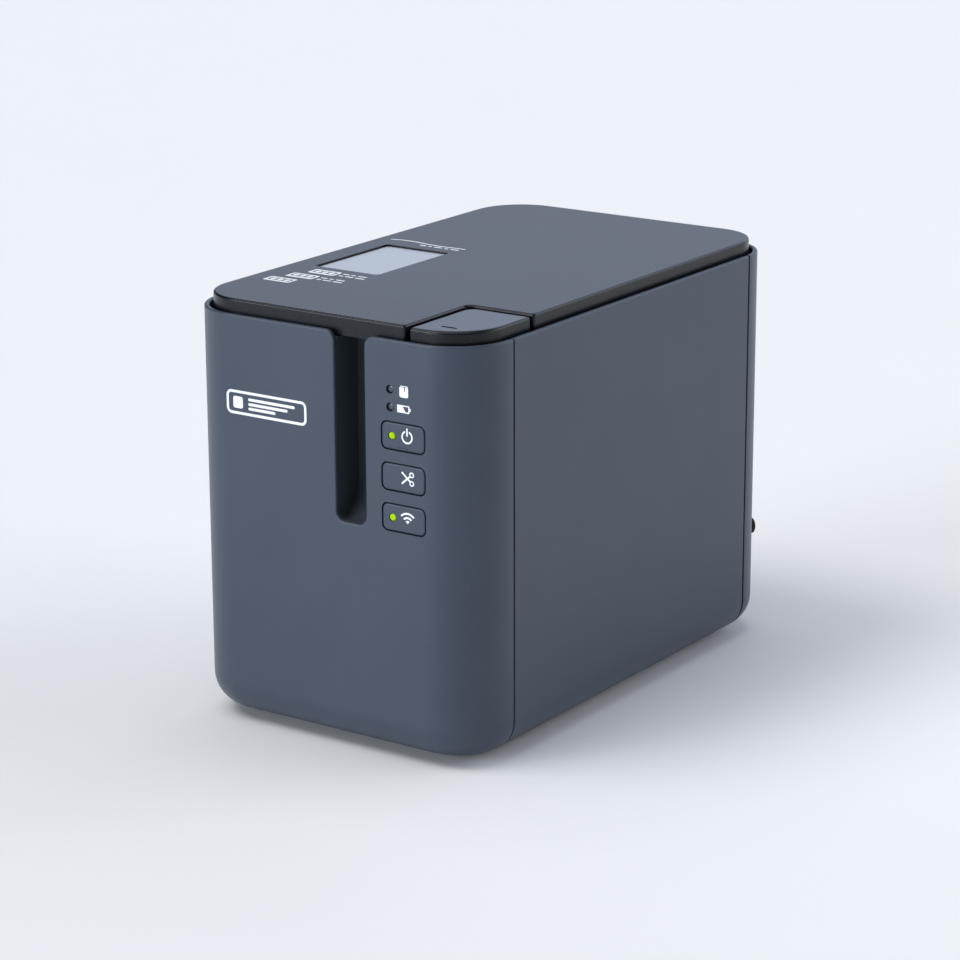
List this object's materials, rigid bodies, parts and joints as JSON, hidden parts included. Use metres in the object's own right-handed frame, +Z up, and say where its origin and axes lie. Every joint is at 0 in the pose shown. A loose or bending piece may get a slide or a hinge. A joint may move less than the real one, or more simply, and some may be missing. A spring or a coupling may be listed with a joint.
{
  "type": "label maker",
  "caption": "Desktop label maker: rounded upright case with a hinged top cover over a cassette bay, front tape slot, control keys and rear sockets.",
  "frame": {"origin": "on the standing surface, under the middle of the case", "axes": "+Z up, the front with the tape slot faces -Y, +X to the right seen from the front"},
  "size_m": [0.118, 0.192, 0.146],
  "materials": {
    "case_abs": "moulded, fine texture",
    "cover_abs": "moulded, fine texture",
    "button_abs": "moulded, fine texture",
    "window_pc": "frosted clear panel",
    "black_abs": "moulded black",
    "dark_abs": "moulded dark grey",
    "inner_abs": "moulded grey",
    "acetal": "moulded natural",
    "rubber": "moulded",
    "lens_lit": "clear, lit",
    "lens_dark": "clear, unlit",
    "steel": "zinc plated sheet",
    "brass": "machined",
    "board": "solder mask on glass fibre laminate"
  },
  "bodies": {
    "housing": {"front_panel": "case_abs", "rear_panel": "case_abs", "left_cover": "case_abs", "right_cover": "case_abs", "base_plate": "dark_abs", "rear_bumper_left": "rubber", "rear_bumper_right": "rubber", "foot_left_front": "rubber", "foot_left_rear": "rubber", "foot_right_front": "rubber", "foot_right_rear": "rubber", "base_screw_left_front": "steel", "base_screw_left_rear": "steel", "base_screw_right_front": "steel", "base_screw_right_rear": "steel", "deck": "black_abs", "cassette_tub": "inner_abs", "exit_chute": "black_abs", "release_spring": "steel", "status_light_pipe": "lens_dark", "battery_light_pipe": "lens_dark", "key_board": "board", "gear_plate": "steel", "drive_motor": "steel", "head_bracket": "steel", "print_head": "steel", "cutter_frame": "steel", "fixed_blade": "steel", "cutter_motor": "steel", "main_board": "board", "wifi_module": "steel", "io_board": "board", "dc_jack": "black_abs", "usb_device_port": "steel", "usb_host_port": "steel", "lan_port": "steel", "serial_port": "black_abs"},
    "cover": {"top_cover": "cover_abs", "cover_window": "window_pc", "cover_liner": "black_abs", "hinge_pin_left": "steel", "hinge_pin_right": "steel"},
    "release_button": {"release_button": "button_abs"},
    "latch_slider": {"latch_slider": "inner_abs"},
    "power_key": {"power_key": "case_abs", "power_lens": "lens_lit"},
    "cut_key": {"cut_key": "case_abs"},
    "wifi_key": {"wifi_key": "case_abs", "wifi_lens": "lens_lit"},
    "roller_holder": {"roller_holder": "dark_abs"},
    "platen": {"platen_roller": "rubber", "platen_shaft": "steel", "platen_gear": "acetal"},
    "idler_gear_a": {"idler_gear_a": "acetal"},
    "idler_gear_b": {"idler_gear_b": "acetal"},
    "motor_pinion": {"motor_pinion": "brass"},
    "ribbon_spindle": {"ribbon_spindle": "acetal"},
    "moving_blade": {"moving_blade": "steel"},
    "cutter_pinion": {"cutter_pinion": "brass"}
  },
  "joints": [
    {"name": "cover_hinge", "type": "hinge", "parent": "housing", "child": "cover", "pos_m": [0, 0.0908, 0.1432], "axis": [-1, 0, 0], "range_deg": [0, 85]},
    {"name": "release_press", "type": "slide", "parent": "housing", "child": "release_button", "axis": [0, 0, -1], "range_m": [0, 0.0025], "stiffness_N_per_m": 400, "deforming": ["release_spring"]},
    {"name": "latch_slide", "type": "slide", "parent": "housing", "child": "latch_slider", "axis": [0, -1, 0], "range_m": [0, 0.0025]},
    {"name": "power_press", "type": "slide", "parent": "housing", "child": "power_key", "axis": [0, 1, 0], "range_m": [0, 0.0008], "stiffness_N_per_m": 300},
    {"name": "cut_press", "type": "slide", "parent": "housing", "child": "cut_key", "axis": [0, 1, 0], "range_m": [0, 0.0008], "stiffness_N_per_m": 300},
    {"name": "wifi_press", "type": "slide", "parent": "housing", "child": "wifi_key", "axis": [0, 1, 0], "range_m": [0, 0.0008], "stiffness_N_per_m": 300},
    {"name": "roller_holder_swing", "type": "hinge", "parent": "housing", "child": "roller_holder", "pos_m": [0.016, -0.036, 0.11], "axis": [0, 0, 1], "range_deg": [0, 10.2]},
    {"name": "platen_spin", "type": "hinge", "parent": "roller_holder", "child": "platen", "pos_m": [0.0154, -0.063, 0.08], "axis": [0, 0, 1], "continuous": true},
    {"name": "idler_a_spin", "type": "hinge", "parent": "housing", "child": "idler_gear_a", "pos_m": [0.0004, -0.063, 0.08], "axis": [0, 0, 1], "continuous": true},
    {"name": "pinion_spin", "type": "hinge", "parent": "housing", "child": "motor_pinion", "pos_m": [-0.0136, -0.063, 0.08], "axis": [0, 0, 1], "continuous": true},
    {"name": "idler_b_spin", "type": "hinge", "parent": "housing", "child": "idler_gear_b", "pos_m": [-0.0061, -0.0451, 0.08], "axis": [0, 0, 1], "continuous": true},
    {"name": "ribbon_spin", "type": "hinge", "parent": "housing", "child": "ribbon_spindle", "pos_m": [-0.0151, -0.0295, 0.08], "axis": [0, 0, 1], "continuous": true},
    {"name": "cutter_swing", "type": "hinge", "parent": "housing", "child": "moving_blade", "pos_m": [0.013, -0.0761, 0.08], "axis": [0, -1, 0], "range_deg": [0, 20]},
    {"name": "cutter_pinion_spin", "type": "hinge", "parent": "housing", "child": "cutter_pinion", "pos_m": [0.013, -0.0761, 0.061], "axis": [0, -1, 0], "range_deg": [-56.5, 0]}
  ],
  "couplings": [
    {"joint": "latch_slide", "follows": "release_press", "ratio": 1},
    {"joint": "roller_holder_swing", "follows": "cover_hinge", "ratio": 0.12},
    {"joint": "idler_a_spin", "follows": "platen_spin", "ratio": -0.66667},
    {"joint": "pinion_spin", "follows": "platen_spin", "ratio": 1.2},
    {"joint": "idler_b_spin", "follows": "platen_spin", "ratio": 0.6},
    {"joint": "ribbon_spin", "follows": "platen_spin", "ratio": -0.75},
    {"joint": "cutter_pinion_spin", "follows": "cutter_swing", "ratio": -2.8}
  ]
}
